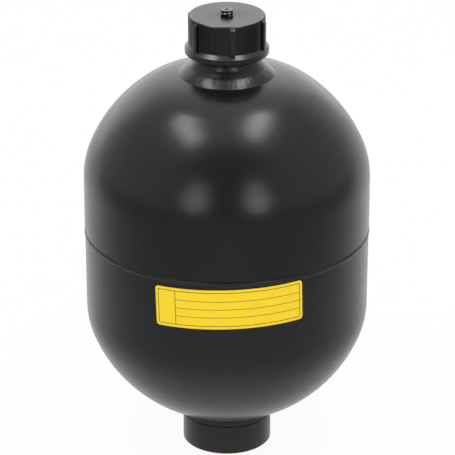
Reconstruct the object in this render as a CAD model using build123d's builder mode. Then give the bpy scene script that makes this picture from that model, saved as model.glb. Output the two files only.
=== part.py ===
"""Welded diaphragm accumulator with a screw-on protective cap over its gas-charging stub.

Two deep-drawn steel halves meet at a weld around the body and clamp an elastomer
diaphragm inside. Oil enters through the threaded boss at the bottom, on which the
accumulator stands. Nitrogen is charged through the stub at the top. Millimetres, +Z up,
origin at the centre of the fluid port's bottom face.
"""

from build123d import *
from math import asin, cos, degrees, radians, sin, sqrt
import os

os.makedirs("parts", exist_ok=True)

# ---------------------------------------------------------------- driving dimensions

# Shell halves, measured outside. Each dome starts in a knuckle arc and goes on in a flatter
# arc, whose radius is the margin larger than the radius of the rim that the dome stands on.
# The upper dome then turns over a shoulder into a nearly flat crown, which carries the stub.
# The shoulder's two angles are measured from the axis.
body_radius = 60.5
rim_step = 0.15
shell_wall = 5.0
upper_straight = 23.7
upper_knuckle = 34.9
upper_dome_margin = 2.4
upper_shoulder = 33.0
upper_shoulder_start = 36.0
upper_shoulder_end = 14.0
lower_straight = 34.1
lower_taper = 0.2
lower_knuckle = 33.4
lower_crown_margin = 2.05

# Machined register inside both rims, which centres the halves on the clamp ring.
register_depth = 0.35
upper_register_length = 7.0
lower_register_length = 13.0

# Weld around the body.
seam_root_width = 1.2
seam_face_width = 2.4
seam_height = 0.5
undercut_depth = 0.35
undercut_width = 0.55

# Clamp ring and diaphragm.
clamp_ring_wall = 4.8
clamp_lip_wall = 1.8
clamp_ring_top = 6.5
clamp_lip_bottom = 12.0
bead_pocket_top = 4.5
bead_overhang = 0.7
membrane_thickness = 2.2
hub_radius = 16.0
hub_height = 3.6

# Closing plate moulded into the diaphragm.
plate_radius = 13.0
plate_thickness = 2.5
stud_radius = 3.5
stud_height = 1.2
stud_head_radius = 5.5
stud_head_height = 1.0

# Fluid port boss.
port_standoff = 14.3
port_radius = 19.0
port_land = 12.9
port_relief_depth = 0.3
port_edge_chamfer = 0.7
port_spigot_radius = 15.0
port_seat_height = 0.8
port_thread_radius = 9.5
port_thread_depth = 15.0
port_mouth_chamfer = 1.2
port_drill_depth = 2.0
oil_passage_radius = 5.0
oil_passage_chamfer = 0.5
port_weld_reach = 1.5
port_weld_height = 1.9
port_weld_hollow = 0.2

# Gas-charging stub.
stub_radius = 14.0
stub_height = 18.46
stub_chamfer = 1.0
stub_spigot_radius = 12.0
stub_spigot_reach = 0.5
foot_reach = 3.6
foot_edge_height = 2.12
foot_neck_height = 4.07
foot_fillet = 2.5
foot_weld_reach = 2.75
foot_weld_bulge = 0.15

# Charging screw and its seal.
screw_bore_radius = 4.0
screw_bore_depth = 12.0
screw_head_radius = 6.5
screw_head_height = 5.0
screw_head_recess = 0.6
screw_shank_length = 10.0
screw_tip_chamfer = 0.8
screw_socket_sides = 6
screw_socket_flats = 6.0
screw_socket_depth = 3.0
screw_pocket_radius = 7.0
gas_passage_radius = 1.5
seal_section_radius = 0.9

# Protective cap.
cap_wall = 1.67
cap_height = 16.4
cap_roof = 2.6
cap_edge_chamfer = 0.45
neck_showing = 7.31
collar_reach = 1.85
collar_height = 2.45
collar_edge_round = 0.3
collar_bevel = 1.5
fine_rib_height = 0.3
fine_rib_width = 0.62
fine_rib_flank = 75.0
fine_rib_pitch = 3.0
fine_ribs_per_bay = 16
grip_rib_count = 6
grip_rib_phase = -82.0
grip_rib_reach = 1.45
grip_rib_width = 2.2
grip_rib_length = 2.2
grip_rib_edge = 0.45
pin_radius = 2.55
pin_height = 2.2
pin_edge_round = 0.25
pin_dimple_radius = 0.9
pin_dimple_depth = 0.5

# Label wrapped around the lower half.
label_width = 63.0
label_height = 17.6
label_thickness = 0.2
label_corner = 1.4
label_below_seam = 11.3
label_turn = 1.0
label_tilt = 1.8

# Clearances.
ring_fit = 0.05
bead_fit = 0.05
membrane_gap = 0.3
plate_gap = 0.3
plate_pocket_fit = 0.15
screw_fit = 0.05
seal_fit = 0.08
cap_thread_fit = 0.08

full_turn = 360.0
quarter_turn = full_turn / 4


# ---------------------------------------------------------------- dome geometry

def meeting_angle(rim, knuckle, next_radius):
    """Angle from the axis, in degrees, at which a knuckle arc meets an arc about the axis."""
    return degrees(asin((rim - knuckle) / (next_radius - knuckle)))


def crown_drop(crown, radius):
    """How far a crown arc has dropped from its pole at a distance from the axis."""
    return crown - sqrt(crown ** 2 - radius ** 2)


def hole_angle(crown, hole):
    """Angle from the axis, in degrees, at which a crown arc ends at a hole round the axis."""
    return degrees(asin(hole / crown))


def arcs_height(arcs):
    """Height of a chain of arcs, given as radius, first angle and last angle from the axis."""
    return sum(radius * (cos(radians(last)) - cos(radians(first))) for radius, first, last in arcs)


def draw_arcs(start, arcs, side):
    """Draw a dome's chain of arcs from the point start, each tangent to the one before.

    side is 1 for a dome that rises and -1 for one that drops. Returns the last point.
    """
    end = start
    direction = (0, side)
    for radius, first, last in arcs:
        arc = JernArc(start=end, tangent=direction, radius=radius, arc_size=side * (first - last))
        end = arc @ 1
        direction = arc % 1
    return end


# ---------------------------------------------------------------- worked-out places

lower_rim_radius = body_radius - rim_step
lower_end_radius = lower_rim_radius - lower_taper
lower_inner_radius = lower_end_radius - shell_wall
upper_inner_radius = body_radius - shell_wall
register_radius = upper_inner_radius + register_depth

lower_crown = lower_end_radius + lower_crown_margin
lower_meeting = meeting_angle(lower_end_radius, lower_knuckle, lower_crown)

upper_dome = body_radius + upper_dome_margin
upper_meeting = meeting_angle(body_radius, upper_knuckle, upper_dome)
shoulder_start_sine = sin(radians(upper_shoulder_start))
shoulder_end_sine = sin(radians(upper_shoulder_end))
shoulder_reach = upper_shoulder * (shoulder_start_sine - shoulder_end_sine)
upper_crown = (upper_dome * shoulder_start_sine - shoulder_reach) / shoulder_end_sine


def lower_arcs(inset, hole):
    """The lower dome's arcs, set in from its outside, down to a hole round the axis."""
    crown = lower_crown - inset
    return [
        (lower_knuckle - inset, quarter_turn, lower_meeting),
        (crown, lower_meeting, hole_angle(crown, hole)),
    ]


def upper_arcs(inset, hole):
    """The upper dome's arcs, set in from its outside, up to a hole round the axis."""
    crown = upper_crown - inset
    return [
        (upper_knuckle - inset, quarter_turn, upper_meeting),
        (upper_dome - inset, upper_meeting, upper_shoulder_start),
        (upper_shoulder - inset, upper_shoulder_start, upper_shoulder_end),
        (crown, upper_shoulder_end, hole_angle(crown, hole)),
    ]


lower_tangent_z = port_standoff + arcs_height(lower_arcs(0, 0))
seam_z = lower_tangent_z + lower_straight
upper_tangent_z = seam_z + upper_straight
upper_pole_z = upper_tangent_z + arcs_height(upper_arcs(0, 0))

root_half = seam_root_width / 2
face_half = seam_face_width / 2


def lower_outside_z(radius):
    """Height of the lower half's outside surface at a distance from the axis."""
    return port_standoff + crown_drop(lower_crown, radius)


def upper_outside_z(radius):
    """Height of the upper half's outside surface at a distance from the axis."""
    return upper_pole_z - crown_drop(upper_crown, radius)


def upper_inside_z(radius):
    """Height of the upper half's inside surface at a distance from the axis."""
    return upper_pole_z - shell_wall - crown_drop(upper_crown - shell_wall, radius)


# ---------------------------------------------------------------- shell halves

with BuildPart() as lower_shell:
    with BuildSketch(Plane.XZ):
        with BuildLine():
            outside = Line((lower_rim_radius, seam_z - face_half), (lower_end_radius, lower_tangent_z))
            outer_end = draw_arcs(outside @ 1, lower_arcs(0, port_spigot_radius), -1)
            ledge_z = seam_z - lower_register_length
            inside = Polyline(
                outside @ 0,
                (register_radius, seam_z - root_half),
                (register_radius, ledge_z),
                (lower_inner_radius, ledge_z),
                (lower_inner_radius, lower_tangent_z),
            )
            inner_end = draw_arcs(inside @ 1, lower_arcs(shell_wall, port_spigot_radius), -1)
            Line(outer_end, inner_end)
        make_face()
    revolve(axis=Axis.Z)

with BuildPart() as upper_shell:
    with BuildSketch(Plane.XZ):
        with BuildLine():
            outside = Line((body_radius, seam_z + face_half), (body_radius, upper_tangent_z))
            outer_end = draw_arcs(outside @ 1, upper_arcs(0, stub_spigot_radius), 1)
            ledge_z = seam_z + upper_register_length
            inside = Polyline(
                outside @ 0,
                (register_radius, seam_z + root_half),
                (register_radius, ledge_z),
                (upper_inner_radius, ledge_z),
                (upper_inner_radius, upper_tangent_z),
            )
            inner_end = draw_arcs(inside @ 1, upper_arcs(shell_wall, stub_spigot_radius), 1)
            Line(outer_end, inner_end)
        make_face()
    revolve(axis=Axis.Z)

# The weld fills the bevelled gap. Its ridge stands proud, with an undercut above it.
with BuildPart() as equator_weld:
    with BuildSketch(Plane.XZ):
        with BuildLine():
            lower_toe = (lower_rim_radius, seam_z - face_half)
            ridge = (lower_rim_radius + seam_height, seam_z - undercut_width / 2)
            upper_toe = (body_radius - undercut_depth, seam_z + face_half - undercut_width)
            ThreePointArc(lower_toe, ridge, upper_toe)
            Polyline(
                upper_toe,
                (body_radius, seam_z + face_half),
                (register_radius, seam_z + root_half),
                (register_radius, seam_z - root_half),
                lower_toe,
            )
        make_face()
    revolve(axis=Axis.Z)

# ---------------------------------------------------------------- diaphragm and its clamping

ring_radius = register_radius - ring_fit
ring_inner_radius = ring_radius - clamp_ring_wall
lip_radius = ring_inner_radius + clamp_lip_wall
pocket_z = seam_z - bead_pocket_top
lip_z = seam_z - clamp_lip_bottom

with BuildPart() as clamp_ring:
    with BuildSketch(Plane.XZ):
        with BuildLine():
            Polyline(
                (ring_inner_radius, lip_z),
                (lip_radius, lip_z),
                (lip_radius, pocket_z),
                (ring_radius, pocket_z),
                (ring_radius, seam_z + clamp_ring_top),
                (lip_radius, seam_z + clamp_ring_top),
                (ring_inner_radius, seam_z + clamp_ring_top - clamp_lip_wall),
                close=True,
            )
        make_face()
    revolve(axis=Axis.Z)

membrane_radius = lower_inner_radius - membrane_gap
bead_bottom_z = lip_z - bead_overhang
seat_z = port_standoff + shell_wall + port_seat_height
plate_z = seat_z + plate_gap
plate_top_z = plate_z + plate_thickness
stud_top_z = plate_top_z + stud_height
hub_top_z = plate_top_z + hub_height
outer_gap = shell_wall + membrane_gap
inner_gap = outer_gap + membrane_thickness

with BuildPart() as diaphragm:
    with BuildSketch(Plane.XZ):
        with BuildLine():
            outside = Line((membrane_radius, bead_bottom_z), (membrane_radius, lower_tangent_z))
            outer_end = draw_arcs(outside @ 1, lower_arcs(outer_gap, stud_radius), -1)
            inside = Line(
                (membrane_radius - membrane_thickness, bead_bottom_z),
                (membrane_radius - membrane_thickness, lower_tangent_z),
            )
            inner_end = draw_arcs(inside @ 1, lower_arcs(inner_gap, stud_radius), -1)
            Line(outer_end, inner_end)
            Line(outside @ 0, inside @ 0)
        make_face()
    revolve(axis=Axis.Z)
    # Thick bead, held between the clamp ring's lip and the lower half.
    with BuildSketch(Plane.XZ):
        with BuildLine():
            bead_inner = lip_radius + bead_fit
            bead_outer = register_radius - bead_fit
            Polyline(
                (bead_inner, bead_bottom_z),
                (bead_outer, bead_bottom_z),
                (bead_outer, pocket_z - bead_fit),
                (bead_inner, pocket_z - bead_fit),
                close=True,
            )
        make_face()
    revolve(axis=Axis.Z)
    # Thick hub over the closing plate, with the pocket that the plate is moulded into.
    with BuildSketch(Plane.XY.offset(plate_top_z)):
        Circle(hub_radius)
    extrude(amount=hub_height)
    with BuildSketch(Plane.XY.offset(port_standoff)):
        Circle(plate_radius + plate_pocket_fit)
    extrude(amount=plate_top_z + plate_pocket_fit - port_standoff, mode=Mode.SUBTRACT)
    with BuildSketch(Plane.XY.offset(plate_top_z)):
        Circle(stud_radius + plate_pocket_fit)
    extrude(amount=stud_height, mode=Mode.SUBTRACT)
    with BuildSketch(Plane.XY.offset(stud_top_z - plate_pocket_fit)):
        Circle(stud_head_radius + plate_pocket_fit)
    extrude(amount=stud_head_height + 2 * plate_pocket_fit, mode=Mode.SUBTRACT)

with BuildPart() as closing_plate:
    with BuildSketch(Plane.XY.offset(plate_z)):
        Circle(plate_radius)
    extrude(amount=plate_thickness)
    with BuildSketch(Plane.XY.offset(plate_top_z)):
        Circle(stud_radius)
    extrude(amount=stud_height)
    with BuildSketch(Plane.XY.offset(stud_top_z)):
        Circle(stud_head_radius)
    extrude(amount=stud_head_height)

# ---------------------------------------------------------------- fluid port

relief_radius = port_radius - port_relief_depth
drill_end_z = port_thread_depth + port_drill_depth

with BuildPart() as fluid_port_boss:
    with BuildSketch(Plane.XZ):
        with BuildLine():
            shoulder_middle = (port_spigot_radius + relief_radius) / 2
            Polyline(
                (port_thread_radius + port_mouth_chamfer, 0),
                (port_radius - port_edge_chamfer, 0),
                (port_radius, port_edge_chamfer),
                (port_radius, port_land),
                (relief_radius, port_land + port_relief_depth),
                (relief_radius, lower_outside_z(relief_radius)),
            )
            ThreePointArc(
                (relief_radius, lower_outside_z(relief_radius)),
                (shoulder_middle, lower_outside_z(shoulder_middle)),
                (port_spigot_radius, lower_outside_z(port_spigot_radius)),
            )
            Polyline(
                (port_spigot_radius, lower_outside_z(port_spigot_radius)),
                (port_spigot_radius, seat_z),
                (oil_passage_radius + oil_passage_chamfer, seat_z),
                (oil_passage_radius, seat_z - oil_passage_chamfer),
                (oil_passage_radius, drill_end_z),
                (port_thread_radius, port_thread_depth),
                (port_thread_radius, port_mouth_chamfer),
                (port_thread_radius + port_mouth_chamfer, 0),
            )
        make_face()
    revolve(axis=Axis.Z)

# Weld between the boss and the lower half.
with BuildPart() as fluid_port_weld:
    with BuildSketch(Plane.XZ):
        with BuildLine():
            weld_edge = relief_radius + port_weld_reach
            weld_middle = relief_radius + port_weld_reach / 2
            boss_side = Line(
                (relief_radius, lower_outside_z(relief_radius)),
                (relief_radius, lower_outside_z(relief_radius) - port_weld_height),
            )
            toe = (weld_edge, lower_outside_z(weld_edge))
            ThreePointArc(boss_side @ 0, (weld_middle, lower_outside_z(weld_middle)), toe)
            SagittaArc(boss_side @ 1, toe, port_weld_hollow)
        make_face()
    revolve(axis=Axis.Z)

# ---------------------------------------------------------------- gas-charging stub

stub_top_z = upper_pole_z + stub_height
spigot_end_z = upper_inside_z(stub_spigot_radius) - stub_spigot_reach
foot_radius = stub_radius + foot_reach
foot_top_z = upper_outside_z(foot_radius) + foot_edge_height
neck_z = upper_pole_z + foot_neck_height
screw_floor_z = (
    stub_top_z - screw_head_recess - screw_head_height - 2 * seal_section_radius - seal_fit
)
screw_bore_end_z = screw_floor_z - screw_bore_depth

with BuildPart() as gas_stub:
    with BuildSketch(Plane.XZ):
        with BuildLine():
            foot_middle = (stub_spigot_radius + foot_radius) / 2
            foot_start = (stub_spigot_radius, upper_outside_z(stub_spigot_radius))
            foot_end = (foot_radius, upper_outside_z(foot_radius))
            ThreePointArc(foot_start, (foot_middle, upper_outside_z(foot_middle)), foot_end)
            Polyline(
                foot_end,
                (foot_radius, foot_top_z),
                (stub_radius, neck_z),
                (stub_radius, stub_top_z - stub_chamfer),
                (stub_radius - stub_chamfer, stub_top_z),
                (screw_pocket_radius, stub_top_z),
                (screw_pocket_radius, screw_floor_z),
                (screw_bore_radius, screw_floor_z),
                (screw_bore_radius, screw_bore_end_z),
                (gas_passage_radius, screw_bore_end_z),
                (gas_passage_radius, spigot_end_z),
                (stub_spigot_radius, spigot_end_z),
                foot_start,
            )
        make_face()
    revolve(axis=Axis.Z)
    # The neck runs out into the foot with a turned fillet.
    neck_edge = gas_stub.edges().filter_by(GeomType.CIRCLE).sort_by(
        lambda edge: abs(edge.radius - stub_radius) + abs(edge.arc_center.Z - neck_z)
    )[0]
    fillet(neck_edge, foot_fillet)

# Weld bead around the foot of the stub.
with BuildPart() as gas_stub_weld:
    with BuildSketch(Plane.XZ):
        with BuildLine():
            toe_radius = foot_radius + foot_weld_reach
            toe = (toe_radius, upper_outside_z(toe_radius))
            bead_middle = foot_radius + foot_weld_reach / 2
            foot_side = Line(
                (foot_radius, upper_outside_z(foot_radius)), (foot_radius, foot_top_z)
            )
            ThreePointArc(foot_side @ 0, (bead_middle, upper_outside_z(bead_middle)), toe)
            SagittaArc(foot_side @ 1, toe, foot_weld_bulge)
        make_face()
    revolve(axis=Axis.Z)

screw_head_z = screw_floor_z + seal_fit + 2 * seal_section_radius
shank_radius = screw_bore_radius - screw_fit

with BuildPart() as charging_screw:
    with BuildSketch(Plane.XY.offset(screw_head_z)):
        Circle(screw_head_radius)
    extrude(amount=screw_head_height)
    with BuildSketch(Plane.XY.offset(screw_head_z - screw_shank_length)):
        Circle(shank_radius)
    extrude(amount=screw_shank_length)
    chamfer(charging_screw.edges().sort_by(Axis.Z)[0], screw_tip_chamfer)
    with BuildSketch(Plane.XY.offset(screw_head_z + screw_head_height)):
        RegularPolygon(screw_socket_flats / 2, screw_socket_sides, major_radius=False)
    extrude(amount=-screw_socket_depth, mode=Mode.SUBTRACT)

with BuildPart() as charging_screw_seal:
    with BuildSketch(Plane.XZ):
        with Locations((shank_radius + seal_section_radius, screw_head_z - seal_section_radius)):
            Circle(seal_section_radius)
    revolve(axis=Axis.Z)

# ---------------------------------------------------------------- protective cap

# The cap is built outwards from the thread that it is screwed onto.
cap_bore = stub_radius + cap_thread_fit
cap_radius = cap_bore + cap_wall
collar_radius = cap_radius + collar_reach
grip_rib_radius = cap_radius + grip_rib_reach
cap_z = upper_pole_z + neck_showing
cap_top_z = cap_z + cap_height
bevel_z = cap_z + collar_height
rib_z = bevel_z + collar_bevel
rib_crest = cap_radius + fine_rib_height
bay_angle = full_turn / grip_rib_count
bay_start = (bay_angle - (fine_ribs_per_bay - 1) * fine_rib_pitch) / 2

with BuildPart() as protective_cap:
    with BuildSketch(Plane.XZ):
        with BuildLine():
            Polyline(
                (0, cap_top_z),
                (0, cap_top_z - cap_roof),
                (cap_bore, cap_top_z - cap_roof),
                (cap_bore, cap_z),
                (collar_radius - collar_edge_round, cap_z),
                (collar_radius, cap_z + collar_edge_round),
                (collar_radius, bevel_z),
                (rib_crest, rib_z),
                (cap_radius, rib_z),
                (cap_radius, cap_top_z),
                close=True,
            )
        make_face()
    revolve(axis=Axis.Z)
    # Fine grip ribs, in one bay between each two large ribs.
    with BuildSketch(Plane.XY.offset(rib_z)):
        for bay in range(grip_rib_count):
            first = grip_rib_phase + bay * bay_angle + bay_start
            sweep = fine_ribs_per_bay * fine_rib_pitch
            with PolarLocations(cap_radius, fine_ribs_per_bay, first, sweep):
                Trapezoid(fine_rib_width, 2 * fine_rib_height, fine_rib_flank, rotation=-quarter_turn)
    extrude(amount=cap_top_z - rib_z)
    # Large grip ribs, which run down over the collar's bevel.
    with BuildSketch(Plane.XY.offset(bevel_z)):
        with PolarLocations(grip_rib_radius - grip_rib_length / 2, grip_rib_count, grip_rib_phase):
            RectangleRounded(grip_rib_length, grip_rib_width, grip_rib_edge)
    extrude(amount=cap_top_z - bevel_z)
    # One bevel runs round the roof's edge and down over the tops of all the ribs.
    with BuildSketch(Plane.XZ):
        with BuildLine():
            bevel_start = rib_crest - cap_edge_chamfer
            bevel_reach = grip_rib_radius + cap_edge_chamfer - bevel_start
            Polyline(
                (bevel_start, cap_top_z),
                (bevel_start + bevel_reach, cap_top_z),
                (bevel_start + bevel_reach, cap_top_z - bevel_reach),
                close=True,
            )
        make_face()
    revolve(axis=Axis.Z, mode=Mode.SUBTRACT)
    # Centre pin with a dimple in its end.
    with BuildSketch(Plane.XY.offset(cap_top_z)):
        Circle(pin_radius)
    extrude(amount=pin_height)
    fillet(protective_cap.edges().sort_by(Axis.Z)[-1], pin_edge_round)
    with BuildSketch(Plane.XY.offset(cap_top_z + pin_height)):
        Circle(pin_dimple_radius)
    extrude(amount=-pin_dimple_depth, mode=Mode.SUBTRACT)

# ---------------------------------------------------------------- label

label_z = seam_z - label_below_seam
label_low_z = label_z - label_height
label_high_z = min(label_z + label_height, seam_z - face_half)
taper_slope = lower_taper / (seam_z - face_half - lower_tangent_z)


def lower_side_radius(height):
    """Outside radius of the lower half's straight stretch at a height."""
    return lower_rim_radius - taper_slope * (seam_z - face_half - height)


# A thin band round the lower half, cut to the label's rounded outline.
with BuildPart() as label:
    with BuildSketch(Plane.XZ):
        with BuildLine():
            Polyline(
                (lower_side_radius(label_low_z), label_low_z),
                (lower_side_radius(label_low_z) + label_thickness, label_low_z),
                (lower_side_radius(label_high_z) + label_thickness, label_high_z),
                (lower_side_radius(label_high_z), label_high_z),
                close=True,
            )
        make_face()
    revolve(axis=Axis.Z)
    # The outline is drawn on a plane in front of the label, square to its middle.
    facing = Plane(
        origin=(0, 0, label_z),
        x_dir=(cos(radians(label_turn)), sin(radians(label_turn)), 0),
        z_dir=(sin(radians(label_turn)), -cos(radians(label_turn)), 0),
    )
    half_angle = degrees(label_width / 2 / lower_rim_radius)
    chord = 2 * lower_rim_radius * sin(radians(half_angle))
    with BuildSketch(facing):
        RectangleRounded(chord, label_height, label_corner, rotation=label_tilt)
    extrude(amount=body_radius + label_thickness, mode=Mode.INTERSECT)

# ---------------------------------------------------------------- export

pieces = {
    "lower_shell": lower_shell,
    "upper_shell": upper_shell,
    "equator_weld": equator_weld,
    "clamp_ring": clamp_ring,
    "diaphragm": diaphragm,
    "closing_plate": closing_plate,
    "fluid_port_boss": fluid_port_boss,
    "fluid_port_weld": fluid_port_weld,
    "gas_stub": gas_stub,
    "gas_stub_weld": gas_stub_weld,
    "charging_screw": charging_screw,
    "charging_screw_seal": charging_screw_seal,
    "protective_cap": protective_cap,
    "label": label,
}
for name, piece in pieces.items():
    piece.part.label = name
    export_step(piece.part, f"parts/{name}.step")
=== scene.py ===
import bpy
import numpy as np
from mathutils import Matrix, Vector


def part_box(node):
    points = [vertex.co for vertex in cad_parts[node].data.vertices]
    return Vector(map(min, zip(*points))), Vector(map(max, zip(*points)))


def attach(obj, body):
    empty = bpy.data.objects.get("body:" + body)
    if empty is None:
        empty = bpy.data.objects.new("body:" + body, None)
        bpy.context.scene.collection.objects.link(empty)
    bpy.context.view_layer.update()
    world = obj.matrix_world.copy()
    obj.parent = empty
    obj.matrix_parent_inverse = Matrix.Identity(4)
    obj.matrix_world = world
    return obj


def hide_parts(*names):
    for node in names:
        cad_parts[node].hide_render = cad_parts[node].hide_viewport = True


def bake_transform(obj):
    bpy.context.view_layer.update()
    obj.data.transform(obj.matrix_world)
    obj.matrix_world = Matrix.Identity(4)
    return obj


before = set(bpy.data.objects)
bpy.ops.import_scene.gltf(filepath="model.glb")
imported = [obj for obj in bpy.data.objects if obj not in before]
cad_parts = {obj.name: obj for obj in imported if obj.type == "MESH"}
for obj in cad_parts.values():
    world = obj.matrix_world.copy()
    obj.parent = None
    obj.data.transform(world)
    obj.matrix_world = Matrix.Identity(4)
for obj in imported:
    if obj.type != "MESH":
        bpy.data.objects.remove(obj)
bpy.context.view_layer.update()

# Looks of a welded diaphragm accumulator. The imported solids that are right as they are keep
# their shape and get their finish here. Beads, threads, rubber and the foil label are pieces
# of their own. Outlines are in millimetres until a mesh is made of them. Finishes, lamps and
# the camera are in metres. +Z is up, and the front is at -Y.

millimetre = 0.001
full_turn = 2 * np.pi

# ---------------------------------------------------------------- sizes shared with the solids


def heights(node):
    """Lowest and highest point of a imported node."""
    low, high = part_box(node)
    return low.z / millimetre, high.z / millimetre


weld_low, weld_high = heights("equator_weld")
cap_low = heights("protective_cap")[0]
stub_low, stub_high = heights("gas_stub")
seal_low, seal_high = heights("charging_screw_seal")
plate_low, plate_high = heights("closing_plate")
bead_high = heights("diaphragm")[1]

seam = (weld_low + weld_high) / 2
cap_above_pole = 7.31
pole = cap_low - cap_above_pole

# The two halves, measured outside. The lower one narrows a little from its rim down to its
# knuckle. The upper dome turns over a shoulder into a nearly flat crown. The register is
# the step that centres one half in the other.
body_radius = 60.5
rim_radius = 60.35
lower_radius = 60.15
wall = 5.0
upper_dome_radius = 62.9
upper_shoulder = 33.0
shoulder_start, shoulder_end = np.radians(36.0), np.radians(14.0)
shoulder_reach = upper_shoulder * (np.sin(shoulder_start) - np.sin(shoulder_end))
upper_crown = (upper_dome_radius * np.sin(shoulder_start) - shoulder_reach) / np.sin(shoulder_end)
lower_crown = 62.2
lower_knuckle = 33.4
standoff = 14.3
register_radius = 55.85

foot_radius = 16.1
stub_radius = 14.0
stub_pitch = 1.5
spigot_radius = 12.0

label_width, label_height = 63.0, 17.6


def upper_dome(radius):
    """Height of the upper half's crown at a distance from the axis: a circle about the axis."""
    return pole - upper_crown + np.sqrt(upper_crown ** 2 - radius ** 2)


def lower_dome(radius):
    """Height of the lower half's outside at a distance from the axis: a circle about the axis."""
    return standoff + lower_crown - np.sqrt(lower_crown ** 2 - radius ** 2)


# ---------------------------------------------------------------- outlines and surfaces


def arc(centre, radius, first, last, count=24):
    """Points of a circular arc: the centre plus the radius times (cos t, sin t), where t runs
    evenly from the first angle to the last, in degrees."""
    t = np.radians(np.linspace(first, last, count))
    return np.column_stack((centre[0] + radius * np.cos(t), centre[1] + radius * np.sin(t)))


def eased(corners, ease, steps):
    """A closed outline with its corners rounded. Each corner c becomes so many steps on the
    curve (1-t)^2 a + 2t(1-t) c + t^2 b, whose ends a and b lie an ease along its two sides."""
    corners = np.asarray(corners, float)
    before = np.roll(corners, 1, 0) - corners
    after = np.roll(corners, -1, 0) - corners
    before_length = np.linalg.norm(before, axis=1, keepdims=True)
    after_length = np.linalg.norm(after, axis=1, keepdims=True)
    a = corners + before / before_length * np.minimum(ease, before_length * 0.45)
    b = corners + after / after_length * np.minimum(ease, after_length * 0.45)
    t = np.linspace(0, 1, steps)[:, None, None]
    rounded = (1 - t) ** 2 * a + 2 * t * (1 - t) * corners + t ** 2 * b
    return rounded.transpose(1, 0, 2).reshape(-1, 2)


def refined(outline, corner, steps, count):
    """An eased outline with the straight run up to a corner divided by a count of points."""
    end = corner * steps
    added = np.linspace(outline[end - 1], outline[end], count)[1:-1]
    return np.vstack((outline[:end], added, outline[end:]))


def skin(name, points, rows_close=False, columns_close=False, poles=()):
    """One mesh over a grid of points in millimetres, joined by four-sided faces. A closing
    direction joins its last line to its first. poles holds a point below the first row and
    one above the last row, and each gets a fan of triangles."""
    rows, columns = points.shape[:2]
    index = np.arange(rows * columns).reshape(rows, columns)
    if rows_close:
        index = np.vstack((index, index[:1]))
    if columns_close:
        index = np.hstack((index, index[:, :1]))
    corners = (index[:-1, :-1], index[:-1, 1:], index[1:, 1:], index[1:, :-1])
    faces = np.stack(corners, -1).reshape(-1, 4).tolist()
    spots = points.reshape(-1, 3)
    if len(poles):
        below, above = len(spots), len(spots) + 1
        spots = np.vstack((spots, poles))
        start, end = index[0], index[-1]
        faces += [[below, right, left] for left, right in zip(start[:-1], start[1:])]
        faces += [[left, right, above] for left, right in zip(end[:-1], end[1:])]
    mesh = bpy.data.meshes.new(name)
    mesh.from_pydata((spots * millimetre).tolist(), [], faces)
    mesh.polygons.foreach_set("use_smooth", np.ones(len(mesh.polygons), bool))
    mesh.update()
    mesh.set_sharp_from_angle(angle=np.radians(50))
    made = bpy.data.objects.new(name, mesh)
    bpy.context.scene.collection.objects.link(made)
    return made


def turned(name, outline, columns=256, closed=True, shape=None):
    """Surface of revolution: x = r cos a, y = r sin a, z = h. The outline gives r and h for
    each row, the columns are even angles a, and shape moves r and h with a where given. An
    outline that isn't closed starts and ends on the axis."""
    angle = np.linspace(0, full_turn, columns, endpoint=False)[None, :]
    ends = outline[[0, -1]]
    rows = outline if closed else outline[1:-1]
    radius = np.repeat(rows[:, :1], columns, 1)
    height = np.repeat(rows[:, 1:], columns, 1)
    if shape:
        radius, height = shape(radius, height, angle)
    points = np.stack((radius * np.cos(angle), radius * np.sin(angle), height), -1)
    poles = () if closed else [(0, 0, h) for h in ends[:, 1]]
    return skin(name, points, closed, True, poles)


def wander(angle, waves, seed):
    """A slow uneven line round the axis, from -1 to 1: the mean of sines of the angle times
    a gain, clipped. Whole numbers of waves make it close, and a fixed seed gives the phases."""
    gain = 1.6
    phase = np.random.default_rng(seed).uniform(0, full_turn, len(waves))
    terms = [np.sin(n * angle + p) for n, p in zip(waves, phase)]
    return np.clip(sum(terms) / len(terms) * gain, -1, 1)


def bead(name, low_toe, high_toe, tail, rise, ripple, ripples, seed, columns=1440, drift=0.1):
    """A weld bead round the axis, outlined by its face and a tail of points behind it. Over
    the face t runs from 0 at the low toe to 1 at the high toe, and the face stands
    4t(1-t) times the rise off the straight line between them. The rise wanders round the
    axis, each toe drifts along the line, and curved ripples, which take a share of the rise,
    follow one another along it."""
    unevenness, bow, jitter = 0.3, 2.6, 1.3
    low_toe, high_toe = np.array(low_toe), np.array(high_toe)
    across = high_toe - low_toe
    length = np.linalg.norm(across)
    outward = np.array((across[1], -across[0])) / length
    angle = np.linspace(0, full_turn, columns, endpoint=False)[None, :]
    t = np.linspace(0, 1, 15)[:, None]
    swell = 4 * t * (1 - t)
    low_drift = drift * wander(angle, (7, 19, 43, 71), seed)
    high_drift = drift * wander(angle, (5, 23, 37, 83), seed + 1)
    along = t + ((1 - t) * low_drift + t * high_drift) / length
    thinning = unevenness * (0.5 + 0.5 * wander(angle, (4, 13, 31, 59), seed + 2))
    stagger = jitter * wander(angle, (6, 17, 29), seed + 3)
    chevron = np.sin(ripples * angle + bow * swell + stagger)
    lift = rise * swell * (1 - thinning) * (1 - ripple * (0.5 - 0.5 * chevron))
    radius = low_toe[0] + across[0] * along + outward[0] * lift
    height = low_toe[1] + across[1] * along + outward[1] * lift
    tail = np.array(tail)
    radius = np.vstack((radius, np.repeat(tail[:, :1], columns, 1)))
    height = np.vstack((height, np.repeat(tail[:, 1:], columns, 1)))
    points = np.stack((radius * np.cos(angle), radius * np.sin(angle), height), -1)
    return skin(name, points, True, True)


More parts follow.
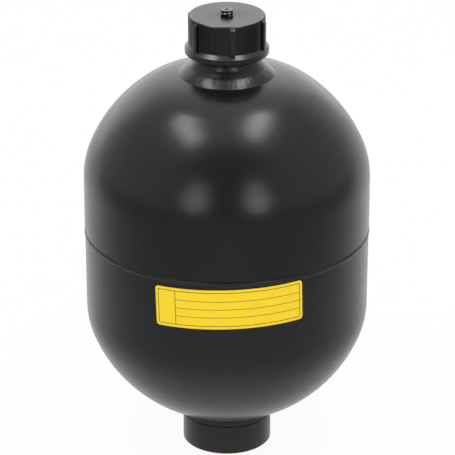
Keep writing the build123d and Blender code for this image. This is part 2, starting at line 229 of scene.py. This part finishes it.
def groove(height, angle, pitch, depth, flank, low, high, runout):
    """Depth of a right-hand, single-start screw thread below its crest. It repeats once a
    pitch and climbs a pitch a turn: nothing on the crest's flat, then a straight flank down
    to the root. At both ends it fades out over the runout."""
    half_crest = pitch / 14
    turn = (height / pitch - angle / full_turn) % 1
    from_crest = np.abs(turn - 0.5) * pitch
    cut = np.clip((from_crest - half_crest) / np.tan(np.radians(flank)), 0, depth)
    fade = np.clip(np.minimum(height - low, high - height) / runout, 0, 1)
    return cut * fade ** 2 * (3 - 2 * fade)


# ---------------------------------------------------------------- shader expressions


class Value:
    """A number in a node tree. Each operator adds the Math node that it stands for."""

    def __init__(self, nodes, socket):
        self.nodes = nodes
        self.socket = socket

    def __add__(self, other):
        return self.nodes.math("ADD", self, other)

    __radd__ = __add__

    def __sub__(self, other):
        return self.nodes.math("SUBTRACT", self, other)

    def __rsub__(self, other):
        return self.nodes.math("SUBTRACT", other, self)

    def __mul__(self, other):
        return self.nodes.math("MULTIPLY", self, other)

    __rmul__ = __mul__

    def __truediv__(self, other):
        return self.nodes.math("DIVIDE", self, other)

    def __pow__(self, other):
        return self.nodes.math("POWER", self, other)

    def __gt__(self, other):
        return self.nodes.math("GREATER_THAN", self, other)

    def __lt__(self, other):
        return self.nodes.math("LESS_THAN", self, other)

    def __abs__(self):
        return self.nodes.math("ABSOLUTE", self)


class Nodes:
    """A node tree. node() adds any node, and the other methods name the common ones."""

    def __init__(self, tree):
        self.tree = tree
        self.tree.nodes.clear()
        self.place = None

    def node(self, kind, settings=None, inputs=None, output=0):
        """A node of a kind. Its settings come first, then its sockets, by name or number, as
        plain values or as links. Returns one of its outputs."""
        made = self.tree.nodes.new(kind)
        for setting, value in (settings or {}).items():
            setattr(made, setting, value)
        for socket, value in (inputs or {}).items():
            if isinstance(value, Value):
                self.tree.links.new(value.socket, made.inputs[socket])
            else:
                made.inputs[socket].default_value = value
        return Value(self, made.outputs[output]) if len(made.outputs) else None

    def math(self, operation, *terms):
        """One of the Math node's operations on numbers."""
        return self.node("ShaderNodeMath", {"operation": operation}, dict(enumerate(terms)))

    def highest(self, first, second):
        """The larger of two numbers."""
        return self.math("MAXIMUM", first, second)

    def position(self):
        """The object's own coordinates, in metres."""
        if self.place is None:
            self.place = self.node("ShaderNodeTexCoord", output="Object")
        return self.place

    def axes(self, vector=None):
        """The three numbers of a vector, the position unless another is given."""
        split = self.node("ShaderNodeSeparateXYZ", inputs={0: vector or self.position()})
        return [Value(self, output) for output in split.socket.node.outputs]

    def off_axis(self):
        """Distance from the upright axis, in metres."""
        x, y, _ = self.axes()
        return (x * x + y * y) ** 0.5

    def noise(self, scale, detail=2.0, roughness=0.5, vector=None):
        """Fractal noise from 0 to 1 with so many cells a metre."""
        sockets = {"Vector": vector or self.position(), "Scale": scale, "Detail": detail}
        sockets["Roughness"] = roughness
        return self.node("ShaderNodeTexNoise", inputs=sockets)

    def tool_rings(self, scale, detail):
        """Noise that stays the same all round the axis, as a turning tool leaves it."""
        height = self.axes()[2]
        section = self.node("ShaderNodeCombineXYZ", inputs={0: height, 1: self.off_axis()})
        return self.noise(scale, detail, vector=section)

    def ramp(self, value, low, high, into=(0.0, 1.0)):
        """A smooth step: the value's stretch from low to high becomes into, and clamps."""
        sockets = {0: value, 1: low, 2: high, 3: into[0], 4: into[1]}
        return self.node("ShaderNodeMapRange", {"interpolation_type": "SMOOTHSTEP"}, sockets)

    def blend(self, factor, first, second):
        """A colour between two colours."""
        sockets = {0: factor, 6: first, 7: second}
        return self.node("ShaderNodeMix", {"data_type": "RGBA"}, sockets, output=2)

    def bump(self, height, depth, under=None):
        """A normal from heights of 0 to 1 that stand a depth in metres, over another normal."""
        sockets = {"Height": height, "Distance": depth}
        if under:
            sockets["Normal"] = under
        return self.node("ShaderNodeBump", inputs=sockets)

    def ray_kinds(self):
        """Two masks: 1 for what is seen directly or through glass, and 1 for what is mirrored."""
        path = self.node("ShaderNodeLightPath").socket.node.outputs
        seen, through, mirrored = (
            Value(self, path[kind])
            for kind in ("Is Camera Ray", "Is Transmission Ray", "Is Glossy Ray")
        )
        return self.highest(seen, through), mirrored


class Finish(Nodes):
    """The nodes of a new material."""

    def __init__(self, name):
        self.material = bpy.data.materials.new(name)
        self.material.use_nodes = True
        super().__init__(self.material.node_tree)

    def ends_in(self, shader):
        """The material, with this shader as its surface."""
        self.node("ShaderNodeOutputMaterial", inputs={"Surface": shader})
        return self.material

    def surface(self, **sockets):
        """The material, with a Principled shader that has these sockets as its surface."""
        named = {name.replace("_", " "): value for name, value in sockets.items()}
        return self.ends_in(self.node("ShaderNodeBsdfPrincipled", inputs=named))


def grey(level, warmth=0.0):
    """A near-neutral colour of a linear level, with red up and blue down by the warmth."""
    return (level * (1 + warmth), level, level * (1 - warmth), 1.0)


# ---------------------------------------------------------------- finishes


def black_paint(name, roughness, bare_within=None, refraction=1.5):
    """Sprayed black paint with orange peel, slow changes of gloss, a few specks of dust, and
    a faint haze that lightens it where it turns away. Nearer to the axis than bare_within,
    in metres, turned steel is left bare."""
    finish = Finish(name)
    peel = finish.noise(750, 3.0, 0.55)
    sag = finish.noise(60, 2.0)
    gloss = finish.noise(28, 3.0, 0.6)
    speckle = finish.node(
        "ShaderNodeTexVoronoi", inputs={"Vector": finish.position(), "Scale": 120.0}
    )
    picked = finish.noise(90, 0.0) > 0.66
    specks = finish.ramp(speckle, 0.02, 0.05, (1.0, 0.0)) * picked
    colour = finish.blend(gloss, grey(0.0042, 0.04), grey(0.0062, 0.07))
    colour = finish.blend(specks * 0.5, colour, grey(0.12, 0.05))
    rough = roughness + (gloss - 0.5) * 0.08 + specks * 0.3
    metal = 0.0
    if bare_within:
        paint_edge = 0.0002
        bare = finish.ramp(finish.off_axis(), bare_within, bare_within + paint_edge, (1.0, 0.0))
        marks = finish.tool_rings(900, 2.0)
        steel = finish.blend(marks, grey(0.32, 0.03), grey(0.5, 0.02))
        colour = finish.blend(bare, colour, steel)
        rough = rough * (1 - bare) + (marks * 0.2 + 0.25) * bare
        metal = bare
    return finish.surface(
        Base_Color=colour,
        Roughness=rough,
        Metallic=metal,
        Normal=finish.bump(peel, 0.000022, finish.bump(sag, 0.00005)),
        IOR=refraction,
        Sheen_Weight=0.08,
        Sheen_Roughness=0.3,
    )


def turned_steel(name, level, roughness):
    """Turned steel: fine rings that follow the tool round the axis, and slow staining."""
    finish = Finish(name)
    marks = finish.tool_rings(2600, 3.0)
    stain = finish.noise(110, 4.0, 0.6)
    return finish.surface(
        Base_Color=finish.blend(stain, grey(level * 0.85, 0.05), grey(level, 0.02)),
        Roughness=roughness + marks * 0.12 + (stain - 0.5) * 0.1,
        Metallic=1.0,
        Normal=finish.bump(marks, 0.000012),
    )


def rubber(name, level, roughness):
    """Moulded nitrile rubber with a fine skin and a faint bloom."""
    finish = Finish(name)
    grain = finish.noise(2400, 3.0, 0.6)
    bloom = finish.noise(70, 4.0, 0.6)
    return finish.surface(
        Base_Color=finish.blend(bloom, grey(level * 0.8), grey(level * 1.25, 0.03)),
        Roughness=roughness + (bloom - 0.5) * 0.15,
        Normal=finish.bump(grain, 0.00002),
    )


def moulded_plastic(name):
    """Black moulded plastic: fine grain, slow flow marks, two fine rings round the collar,
    and a screw thread in the bore."""
    finish = Finish(name)
    grain = finish.noise(3200, 2.0, 0.6)
    flow = finish.noise(190, 3.0, 0.55)
    x, y, z = finish.axes()
    ring_heights = [(cap_low + up) * millimetre for up in (0.95, 1.85)]
    rings = sum(finish.ramp(abs(z - at), 0.0, 0.00022, (1.0, 0.0)) for at in ring_heights)
    bore_edge = (stub_radius + 0.18) * millimetre
    in_bore = finish.ramp(finish.off_axis(), bore_edge, bore_edge + 0.00002, (1.0, 0.0))
    turns = z / (stub_pitch * millimetre) - finish.math("ARCTAN2", y, x) / full_turn
    thread = abs(finish.math("FRACT", turns) - 0.5) * in_bore
    on_rings = finish.bump(rings, 0.00012)
    return finish.surface(
        Base_Color=finish.blend(flow, grey(0.0035, 0.03), grey(0.0055, 0.05)),
        Roughness=0.25 + (flow - 0.5) * 0.12,
        Normal=finish.bump(grain, 0.000008, finish.bump(thread, 0.0016, on_rings)),
        IOR=1.62,
    )


def foil(name, width, height):
    """Yellow foil with plain thin rules printed in black: a border and blank fields."""
    finish = Finish(name)
    across, up, _ = finish.axes(finish.node("ShaderNodeUVMap", {"uv_map": "label"}))
    x = (across - 0.5) * width
    y = (up - 0.5) * height
    margin, first_field, field_height = 1.3, 7.5, 3.6
    border_line, field_line, soft_edge = 0.28, 0.22, 0.04

    def rule(value, at, line):
        """1 within half a line's width of a place."""
        half = line / 2
        return finish.ramp(abs(value - at), half - soft_edge, half + soft_edge, (1.0, 0.0))

    def inside(value, low, high):
        """1 between two places."""
        return (value > low) * (value < high)

    border_x, border_y = width / 2 - margin, height / 2 - margin
    in_width, in_height = inside(x, -border_x, border_x), inside(y, -border_y, border_y)
    divider = -border_x + first_field
    ink = rule(abs(x), border_x, border_line) * in_height
    ink = ink + rule(abs(y), border_y, border_line) * in_width
    ink = ink + rule(x, divider, border_line) * in_width * in_height
    for level in (-field_height, 0.0, field_height):
        ink = ink + rule(y, level, field_line) * inside(x, divider, border_x)
    printed = finish.ramp(ink, 0.0, 1.0)
    wear = finish.noise(220, 3.0, 0.6)
    yellow = finish.blend(wear, (0.86, 0.6, 0.014, 1.0), (0.91, 0.655, 0.02, 1.0))
    return finish.surface(
        Base_Color=finish.blend(printed * 0.93, yellow, grey(0.012)),
        Roughness=0.34 + printed * 0.12 + (wear - 0.5) * 0.08,
        Normal=finish.bump(finish.noise(130, 2.0), 0.00004),
        IOR=1.36,
    )


body_paint = black_paint("body_paint", 0.26)
weld_paint = black_paint("weld_paint", 0.26)
port_paint = black_paint("port_paint", 0.3, bare_within=0.0132, refraction=1.43)
stub_paint = black_paint("stub_paint", 0.27, bare_within=0.0072)
ring_steel = turned_steel("ring_steel", 0.52, 0.3)
plate_steel = turned_steel("plate_steel", 0.55, 0.24)
screw_steel = turned_steel("screw_steel", 0.6, 0.22)
diaphragm_rubber = rubber("diaphragm_rubber", 0.018, 0.55)
seal_rubber = rubber("seal_rubber", 0.014, 0.42)
cap_plastic = moulded_plastic("cap_plastic")
label_foil = foil("label_foil", label_width, label_height)

packed_finishes = {
    "upper_shell": body_paint,
    "lower_shell": body_paint,
    "clamp_ring": ring_steel,
    "closing_plate": plate_steel,
    "charging_screw": screw_steel,
    "protective_cap": cap_plastic,
}
for node, finish in packed_finishes.items():
    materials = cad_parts[node].data.materials
    for place in range(len(materials)):
        materials[place] = finish


def dress(piece, finish, slot, *replaced):
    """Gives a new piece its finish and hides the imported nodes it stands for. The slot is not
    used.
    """
    piece.data.materials.append(finish)
    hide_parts(*replaced)
    return piece


def fit(piece, body, finish, slot, *replaced):
    """Dresses a new piece and lets it ride on a body."""
    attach(dress(piece, finish, slot, *replaced), body)


# ---------------------------------------------------------------- welds

# Round the body: the ridge sits low in the joint, and an undercut is left above it.
undercut_depth, undercut_width = 0.35, 0.55
half_root = 0.6
toe_sink = 0.05
body_weld_bead = bead(
    "body_weld_bead",
    low_toe=(rim_radius - 0.02, weld_low),
    high_toe=(body_radius - undercut_depth, weld_high - undercut_width),
    tail=[
        (body_radius, weld_high),
        (register_radius, seam + half_root),
        (register_radius, seam - half_root),
    ],
    rise=0.44,
    ripple=0.2,
    ripples=310,
    seed=11,
    columns=2880,
    drift=0.16,
)
fit(body_weld_bead, "vessel", weld_paint, "weld_paint", "equator_weld")

# Round the stub's foot: a broad bead that carries the flare on down to the dome.
stub_toe = foot_radius + 4.25
foot_top = pole + 1.45
foot_lap = 0.5
stub_weld_bead = bead(
    "stub_weld_bead",
    low_toe=(stub_toe, upper_dome(stub_toe) - toe_sink),
    high_toe=(foot_radius - 0.1, foot_top + 0.12),
    tail=[
        (foot_radius - foot_lap, foot_top - 0.4),
        (foot_radius - foot_lap, upper_dome(foot_radius) - 0.3),
    ],
    rise=0.16,
    ripple=0.2,
    ripples=33,
    seed=23,
    drift=0.16,
)
fit(stub_weld_bead, "vessel", weld_paint, "weld_paint", "gas_stub_weld")

# Between the port and the lower dome.
relief_radius = 18.7
port_toe = relief_radius + 1.5
port_weld_height = 1.9
port_weld_bead = bead(
    "port_weld_bead",
    low_toe=(relief_radius - toe_sink, lower_dome(relief_radius) - port_weld_height),
    high_toe=(port_toe, lower_dome(port_toe) + toe_sink),
    tail=[(relief_radius - 0.3, lower_dome(relief_radius) + 0.3)],
    rise=0.12,
    ripple=0.5,
    ripples=92,
    seed=37,
    drift=0.14,
)
fit(port_weld_bead, "vessel", weld_paint, "weld_paint", "fluid_port_weld")

# ---------------------------------------------------------------- gas-charging stub

neck = pole + 3.95
thread_low, thread_high = neck + 0.9, stub_high + 0.6  # it runs out through the stub's end
stub_chamfer = 1.0
screw_pocket_radius = 7.0
screw_bore_radius, screw_bore_depth = 4.0, 12.0
gas_passage_radius = 1.5
screw_floor = seal_low - 0.08
screw_bore_end = screw_floor - screw_bore_depth


def stub_thread(radius, height, angle):
    """Cuts the M28 x 1.5 thread into the stub's outside, and leaves the other rows round."""
    outside = radius > stub_radius - 0.9 * stub_chamfer
    above = height > neck
    cut = groove(
        height,
        angle,
        stub_pitch,
        depth=0.92,
        flank=30,
        low=thread_low,
        high=thread_high,
        runout=1.6,
    )
    return radius - cut * outside * above, height


# Radius, height and ease of each corner. The run from the fifth to the sixth is threaded.
stub_corners = np.array(
    [
        (spigot_radius, stub_low, 0.1),
        (spigot_radius, upper_dome(spigot_radius), 0.1),
        (foot_radius, upper_dome(foot_radius), 0.1),
        (foot_radius, foot_top, 0.3),
        (stub_radius, neck, 1.3),
        (stub_radius, stub_high - stub_chamfer, 0.1),
        (stub_radius - stub_chamfer, stub_high, 0.25),
        (screw_pocket_radius, stub_high, 0.2),
        (screw_pocket_radius, screw_floor, 0.1),
        (screw_bore_radius, screw_floor, 0.1),
        (screw_bore_radius, screw_bore_end, 0.1),
        (gas_passage_radius, screw_bore_end, 0.1),
        (gas_passage_radius, stub_low, 0.1),
    ]
)
stub_outline = eased(stub_corners[:, :2], stub_corners[:, 2:], steps=8)
stub_outline = refined(stub_outline, corner=5, steps=8, count=150)
charging_stub = turned("charging_stub", stub_outline, columns=288, shape=stub_thread)
fit(charging_stub, "vessel", stub_paint, "stub_paint", "gas_stub")

# ---------------------------------------------------------------- seal under the charging screw

seal_section = (seal_high - seal_low) / 2
seal_stretch = 0.05
seal_middle = (screw_bore_radius - seal_stretch + seal_section, (seal_high + seal_low) / 2)


def flash_line(radius, height, angle):
    """A moulding line round the ring's outside: a low ridge e^(-u^2) high at a height u
    widths off the ring's middle. The ring is drawn in by the ridge's height to make room."""
    line_width, line_height = 0.08, 0.02
    off = (height - seal_middle[1]) / line_width
    ridge = line_height * np.exp(-off ** 2) * (radius > seal_middle[0])
    return radius - line_height + ridge, height


seal_outline = arc(seal_middle, seal_section, -180, 172.5, 48)
screw_seal_ring = turned("screw_seal_ring", seal_outline, columns=128, shape=flash_line)
fit(screw_seal_ring, "gas_valve", seal_rubber, "seal_rubber", "charging_screw_seal")

# ---------------------------------------------------------------- fluid port

port_radius, port_land = 19.0, 12.9
relief_depth = port_radius - relief_radius
port_chamfer = 0.7
port_spigot_radius = 15.0
port_bore, port_bore_depth = 9.5, 15.0
port_drill_depth = 2.0
mouth_chamfer = 1.2
oil_passage_radius, oil_passage_chamfer = 5.0, 0.5
seat = standoff + wall + 0.8


def port_thread(radius, height, angle):
    """Cuts the G 1/2 thread outwards into the wall of the bore."""
    in_bore = np.abs(radius - port_bore) < 0.01
    cut = groove(
        height, angle, pitch=1.814, depth=1.16, flank=27.5, low=-1.0, high=14.6, runout=1.4
    )
    return radius + cut * in_bore, height


# The run from the eleventh corner to the twelfth is threaded.
boss_corners = [
    (port_radius - port_chamfer, 0.0),
    (port_radius, port_chamfer),
    (port_radius, port_land),
    (relief_radius, port_land + relief_depth),
    (relief_radius, lower_dome(relief_radius)),
    (port_spigot_radius, lower_dome(port_spigot_radius)),
    (port_spigot_radius, seat),
    (oil_passage_radius + oil_passage_chamfer, seat),
    (oil_passage_radius, seat - oil_passage_chamfer),
    (oil_passage_radius, port_bore_depth + port_drill_depth),
    (port_bore, port_bore_depth),
    (port_bore, mouth_chamfer),
    (port_bore + mouth_chamfer, 0.0),
]
boss_outline = refined(eased(boss_corners, 0.12, steps=5), corner=11, steps=5, count=130)
fluid_port = turned("fluid_port", boss_outline, columns=288, shape=port_thread)
fit(fluid_port, "vessel", port_paint, "port_paint", "fluid_port_boss")

# ---------------------------------------------------------------- diaphragm

membrane = 2.2
membrane_gap = wall + 0.3
lower_tangent = lower_dome(0) + lower_crown - np.sqrt(
    (lower_crown - lower_knuckle) ** 2 - (lower_radius - lower_knuckle) ** 2
)
meeting = np.degrees(np.arcsin((lower_radius - lower_knuckle) / (lower_crown - lower_knuckle)))


def membrane_side(inset, hole):
    """One side of the membrane from a hole round the axis up to its straight top: the crown's
    circle and then the knuckle's circle, both set in from the lower half's outside."""
    crown_centre = (0.0, standoff + lower_crown)
    knuckle_centre = (lower_radius - lower_knuckle, lower_tangent)
    crown, knuckle = lower_crown - inset, lower_knuckle - inset
    hole_angle = np.degrees(np.arcsin(hole / crown))
    crown_arc = arc(crown_centre, crown, -90 + hole_angle, -90 + meeting, 30)
    knuckle_arc = arc(knuckle_centre, knuckle, -90 + meeting, 0, 30)
    return np.vstack((crown_arc, knuckle_arc[1:]))


ring_wall, lip_wall, lip_depth, bead_overhang = 4.8, 1.8, 12.0, 0.7
bead_fit, bead_round, bead_step = 0.05, 0.4, 0.3
bead_outside = register_radius - bead_fit
bead_inside = bead_outside - ring_wall + lip_wall + bead_fit
bead_bottom = seam - lip_depth - bead_overhang
membrane_outside = lower_radius - membrane_gap

plate_fit = 0.15
plate_edge = 13.0 + plate_fit
plate_face = plate_low + 2.5
stud_side, stud_head_side = 3.5 + plate_fit, 5.5 + plate_fit
head_top, head_bottom = plate_high + plate_fit, plate_high - 1.0 - plate_fit
hub_radius, hub_edge = 16.0, 0.6
hub_top = plate_face + 3.6

diaphragm_outline = np.vstack(
    (
        # The pocket for the plate's stud.
        [(0.0, head_top), (stud_head_side, head_top), (stud_head_side, head_bottom)],
        [(stud_side, head_bottom), (stud_side, plate_face + plate_fit)],
        [(plate_edge, plate_face + plate_fit)],
        # The side that faces the oil, and the thick bead.
        membrane_side(membrane_gap, plate_edge),
        [(membrane_outside, bead_bottom), (bead_outside, bead_bottom + bead_step)],
        [(bead_outside, bead_high - bead_round), (bead_outside - bead_round, bead_high)],
        [(bead_inside + bead_round, bead_high), (bead_inside, bead_high - bead_round)],
        [(bead_inside, bead_bottom + bead_step), (membrane_outside - membrane, bead_bottom)],
        # The side that faces the gas, and the hub.
        membrane_side(membrane_gap + membrane, hub_radius)[::-1],
        [(hub_radius, hub_top - hub_edge), (hub_radius - hub_edge, hub_top), (0.0, hub_top)],
    )
)
diaphragm = dress(
    turned("rubber_diaphragm", diaphragm_outline, columns=192, closed=False),
    diaphragm_rubber, "diaphragm_rubber", "diaphragm",
)
bead_bottom * millimetre
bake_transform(diaphragm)

# ---------------------------------------------------------------- label


def wrapped_label(rows=90, columns=160):
    """The foil, wrapped round the lower half. Across it s runs from edge to edge at each
    height h, and near the top and bottom the edges draw in along the corners' circles. The
    sheet is tilted a little, then bent round the body: the angle is the tilted s over the
    radius, and the radius follows the half's slight taper."""
    middle, turn, tilt = seam - 11.3, np.radians(1.0), np.radians(1.8)
    corner_radius, stand_off = 1.4, 0.17
    half_width, half_height = label_width / 2, label_height / 2
    rise = np.sin(np.linspace(-np.pi / 2, np.pi / 2, rows))[:, None] * half_height
    into_corner = np.clip(np.abs(rise) - (half_height - corner_radius), 0, corner_radius)
    inset = corner_radius - np.sqrt(corner_radius ** 2 - into_corner ** 2)
    side = np.linspace(-1, 1, columns)[None, :]
    s = side * (half_width - inset)
    h = rise + 0 * side
    tilted_s = s * np.cos(tilt) - h * np.sin(tilt)
    tilted_h = s * np.sin(tilt) + h * np.cos(tilt) + middle
    taper = (rim_radius - lower_radius) / (weld_low - lower_tangent)
    radius = rim_radius - taper * (weld_low - tilted_h) + stand_off
    angle = tilted_s / rim_radius - np.pi / 2 + turn
    points = np.stack((radius * np.cos(angle), radius * np.sin(angle), tilted_h), -1)
    sheet = skin("label_foil", points)
    layer = sheet.data.uv_layers.new(name="label")
    vertices = np.empty(len(sheet.data.loops), int)
    sheet.data.loops.foreach_get("vertex_index", vertices)
    flat = np.stack((s / label_width + 0.5, h / label_height + 0.5), -1).reshape(-1, 2)
    layer.data.foreach_set("uv", flat[vertices].ravel())
    thickness = sheet.modifiers.new("thickness", "SOLIDIFY")
    thickness.thickness = 0.15 * millimetre
    thickness.offset = -1
    return sheet


fit(wrapped_label(), "vessel", label_foil, "label_foil", "label")

# ---------------------------------------------------------------- floor and light


def pale_floor(name):
    """White to the camera, with the object's shadow kept faintly. Its reflection in the object
    is white behind, and falls off in front and out at the sides."""
    finish = Finish(name)
    x, y, _ = finish.axes()
    direct, mirrored = finish.ray_kinds()
    near = finish.ramp(y - abs(x) * 0.6, -0.2, 0.06, (0.5, 0.0))
    far = finish.ramp(y - abs(x) * 0.9, -0.45, -0.22, (0.2, 0.0))
    strength = 1.0 - mirrored * (near + far)
    matt = finish.node("ShaderNodeBsdfDiffuse", inputs={"Color": grey(0.9)})
    glow = finish.node("ShaderNodeEmission", inputs={"Color": grey(1.0), "Strength": strength})
    share = finish.highest(direct * 0.94, mirrored * 0.95)
    mixed = finish.node("ShaderNodeMixShader", inputs={0: share, 1: matt, 2: glow})
    return finish.ends_in(mixed)


half_floor = 4000.0
edge = np.linspace(-half_floor, half_floor, 5)
floor_x, floor_y = np.meshgrid(edge, edge)
floor = skin("floor", np.stack((floor_x, floor_y, np.zeros_like(floor_x)), -1))
floor.data.materials.append(pale_floor("pale_floor"))


def soft_lamp(name, azimuth, elevation, distance, width, length, power, shape="RECTANGLE"):
    """A soft lamp that faces the middle of the body. Azimuth 0 is in front, at -Y, and 90 is
    at +X. The width is level, and the length rises away from the floor."""
    a, e = np.radians(azimuth), np.radians(elevation)
    away = Vector((np.sin(a) * np.cos(e), -np.cos(a) * np.cos(e), np.sin(e)))
    light = bpy.data.lights.new(name, "AREA")
    light.shape = shape
    light.size = width
    light.size_y = length
    light.energy = power
    lamp = bpy.data.objects.new(name, light)
    lamp.location = away * distance + Vector((0, 0, seam * millimetre))
    lamp.rotation_euler = away.to_track_quat("Z", "Y").to_euler()
    bpy.context.scene.collection.objects.link(lamp)


high_kind = {"distance": 1.3, "width": 0.62, "length": 0.25}
front_kind = {"distance": 1.5, "width": 0.46, "length": 0.9, "shape": "ELLIPSE"}
soft_lamp("high_lamp_left", azimuth=-74, elevation=63.5, power=3.4, **high_kind)
soft_lamp("high_lamp_right", azimuth=78, elevation=69.5, power=3.9, **high_kind)
soft_lamp("front_lamp_left", azimuth=-25, elevation=17, power=2.4, **front_kind)
soft_lamp("front_lamp_right", azimuth=24, elevation=17, power=2.85, **front_kind)
soft_lamp("back_wall", -172, 16, distance=1.6, width=2.4, length=1.3, power=5.6)


def light_room(world):
    """White to the camera, and an even pale grey to matt surfaces. Mirrored, it is a room
    that is dim in front, lighter behind, and lightest at the ceiling."""
    world.use_nodes = True
    room = Nodes(world.node_tree)
    x, y, z = room.axes(room.node("ShaderNodeTexCoord", output="Generated"))
    direct, mirrored = room.ray_kinds()
    backwards = y / (x * x + y * y) ** 0.5
    in_front = room.ramp(backwards, -1.0, -0.45, (0.42, 0.0))
    behind = room.ramp(backwards, 0.45, 0.85, (0.0, 0.4))
    ceiling = room.ramp(z, 0.77, 1.0, (0.0, 0.9))
    seen = room.highest(0.6 - in_front + behind, ceiling)
    strength = direct + (1 - direct) * (mirrored * seen + (1 - mirrored) * 0.7)
    glow = room.node("ShaderNodeBackground", inputs={"Color": grey(1.0), "Strength": strength})
    room.node("ShaderNodeOutputWorld", inputs={"Surface": glow})


bpy.context.scene.world = bpy.data.worlds.new("studio")
light_room(bpy.context.scene.world)
bpy.context.scene.view_settings.view_transform = "Standard"

# ---------------------------------------------------------------- camera

camera_distance, camera_elevation = 1.331, np.radians(23.6)
camera_data = bpy.data.cameras.new("camera")
camera_data.sensor_width = 36.0
camera_data.lens = 247.2
camera_data.shift_x = 0.0013
camera_data.shift_y = -0.0040
camera_data.clip_end = 50.0
camera = bpy.data.objects.new("camera", camera_data)
camera.location = (
    0.0,
    -camera_distance * np.cos(camera_elevation),
    seam * millimetre + camera_distance * np.sin(camera_elevation),
)
camera.rotation_euler = (np.pi / 2 - camera_elevation, 0.0, 0.0)
bpy.context.scene.collection.objects.link(camera)
bpy.context.scene.camera = camera
